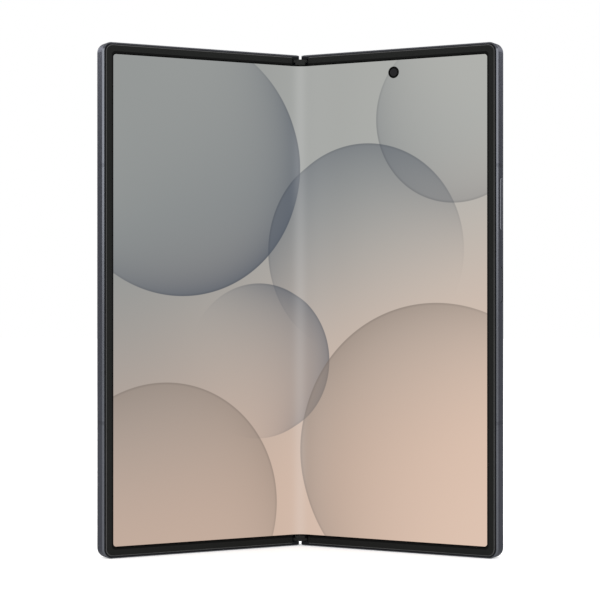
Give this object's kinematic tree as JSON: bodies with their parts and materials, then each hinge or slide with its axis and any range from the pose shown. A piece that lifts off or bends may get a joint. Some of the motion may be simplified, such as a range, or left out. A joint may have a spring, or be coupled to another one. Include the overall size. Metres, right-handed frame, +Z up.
{
  "type": "foldable smartphone",
  "caption": "Book-style folding smartphone whose halves turn on a geared spine around one flexible inner screen, standing partly open.",
  "frame": {"origin": "centre of the bounding box's bottom face, on the surface that the device stands on", "axes": "+Z up along the fold, +X from the cover-screen half to the camera half, +Y from the inner screen to the back"},
  "size_m": [0.1212, 0.0354, 0.1535],
  "materials": {
    "frame": "fine bead-blasted, anodised graphite",
    "spine": "bead-blasted, anodised graphite",
    "bezel": "matte black plastic",
    "display": "lit screen behind a glossy polymer sheet",
    "hinge_steel": "ground steel",
    "gear_metal": "sintered metal, lightly greased",
    "antenna_plastic": "matte grey insert",
    "outer_glass": "polished black glass, opaque from behind",
    "ring_metal": "fine brushed",
    "lens_glass": "coated black glass",
    "flash_window": "frosted clear window",
    "module_black": "matte black housing",
    "circuit_board": "solder mask",
    "battery_foil": "satin pouch foil",
    "copper": "wound copper"
  },
  "bodies": {
    "spine": {"spine_housing": "spine", "hinge_bracket_upper": "hinge_steel", "hinge_bracket_lower": "hinge_steel", "gear_bracket": "hinge_steel", "display_support_bars": "hinge_steel", "crease_cap_top": "bezel", "crease_cap_bottom": "bezel", "inner_display_fold": "display"},
    "right_half": {"right_frame": "frame", "right_bezel": "bezel", "inner_display_right": "display", "display_plate_right": "hinge_steel", "rotation_arms_right": "hinge_steel", "sync_arm_right": "gear_metal", "hinge_screws_right": "hinge_steel", "antenna_bands_right": "antenna_plastic", "back_glass": "outer_glass", "camera_housing": "frame", "camera_rings": "ring_metal", "camera_lenses": "lens_glass", "camera_modules": "module_black", "flash_lens": "flash_window", "inner_camera": "module_black", "main_board": "circuit_board", "board_shields": "ring_metal", "right_battery": "battery_foil", "charging_coil": "copper", "usb_socket": "ring_metal", "charge_board": "circuit_board", "vibration_motor": "ring_metal", "key_switches": "circuit_board"},
    "left_half": {"left_frame": "frame", "left_bezel": "bezel", "inner_display_left": "display", "display_plate_left": "hinge_steel", "rotation_arms_left": "hinge_steel", "sync_arm_left": "gear_metal", "hinge_screws_left": "hinge_steel", "antenna_bands_left": "antenna_plastic", "cover_glass": "outer_glass", "cover_display": "module_black", "cover_camera": "module_black", "left_battery": "battery_foil", "left_board": "circuit_board", "speaker_board": "circuit_board", "speaker_top": "module_black", "speaker_bottom": "module_black", "sim_reader": "ring_metal"},
    "idler_right": {"idler_gear_right": "gear_metal"},
    "idler_left": {"idler_gear_left": "gear_metal"},
    "wing_right": {"wing_plate_right": "hinge_steel"},
    "wing_left": {"wing_plate_left": "hinge_steel"},
    "volume_key": {"volume_key": "frame"},
    "side_key": {"side_key": "frame"},
    "sim_tray": {"sim_tray": "frame"}
  },
  "joints": [
    {"name": "right_fold", "type": "hinge", "parent": "spine", "child": "right_half", "pos_m": [0.00177, 0.01322, 0.07675], "axis": [0, 0, -1], "range_deg": [-27.6, 62.4], "deforming": ["inner_display_fold"]},
    {"name": "left_fold", "type": "hinge", "parent": "spine", "child": "left_half", "pos_m": [-0.00177, 0.01322, 0.07675], "axis": [0, 0, 1], "range_deg": [-27.6, 62.4]},
    {"name": "idler_right_spin", "type": "hinge", "parent": "spine", "child": "idler_right", "pos_m": [0.001, 0.01522, 0.07675], "axis": [0, 0, 1], "range_deg": [-33, 73]},
    {"name": "idler_left_spin", "type": "hinge", "parent": "spine", "child": "idler_left", "pos_m": [-0.001, 0.01522, 0.07675], "axis": [0, 0, -1], "range_deg": [-33, 73]},
    {"name": "wing_right_tilt", "type": "hinge", "parent": "right_half", "child": "wing_right", "pos_m": [0.00791, 0.00936, 0.07675], "axis": [0, 0, -1], "range_deg": [-1.3, 2.9]},
    {"name": "wing_left_tilt", "type": "hinge", "parent": "left_half", "child": "wing_left", "pos_m": [-0.00791, 0.00936, 0.07675], "axis": [0, 0, 1], "range_deg": [-1.3, 2.9]},
    {"name": "volume_rock", "type": "hinge", "parent": "right_half", "child": "volume_key", "pos_m": [0.05805, -0.0142, 0.1054], "axis": [0.4633, 0.8862, 0], "range_deg": [-1.8, 1.8], "stiffness_Nm_per_rad": 0.15},
    {"name": "side_key_press", "type": "slide", "parent": "right_half", "child": "side_key", "axis": [-0.8862, 0.4633, 0], "range_m": [0, 0.00025], "stiffness_N_per_m": 900, "springref_m": -0.0004},
    {"name": "tray_pull", "type": "slide", "parent": "left_half", "child": "sim_tray", "axis": [0, 0, 1], "range_m": [0, 0.02]}
  ],
  "couplings": [
    {"joint": "left_fold", "follows": "right_fold", "ratio": 1},
    {"joint": "idler_right_spin", "follows": "right_fold", "ratio": 1.1429},
    {"joint": "idler_left_spin", "follows": "right_fold", "ratio": 1.1429},
    {"joint": "wing_right_tilt", "follows": "right_fold", "ratio": 0.044444},
    {"joint": "wing_left_tilt", "follows": "right_fold", "ratio": 0.044444}
  ]
}
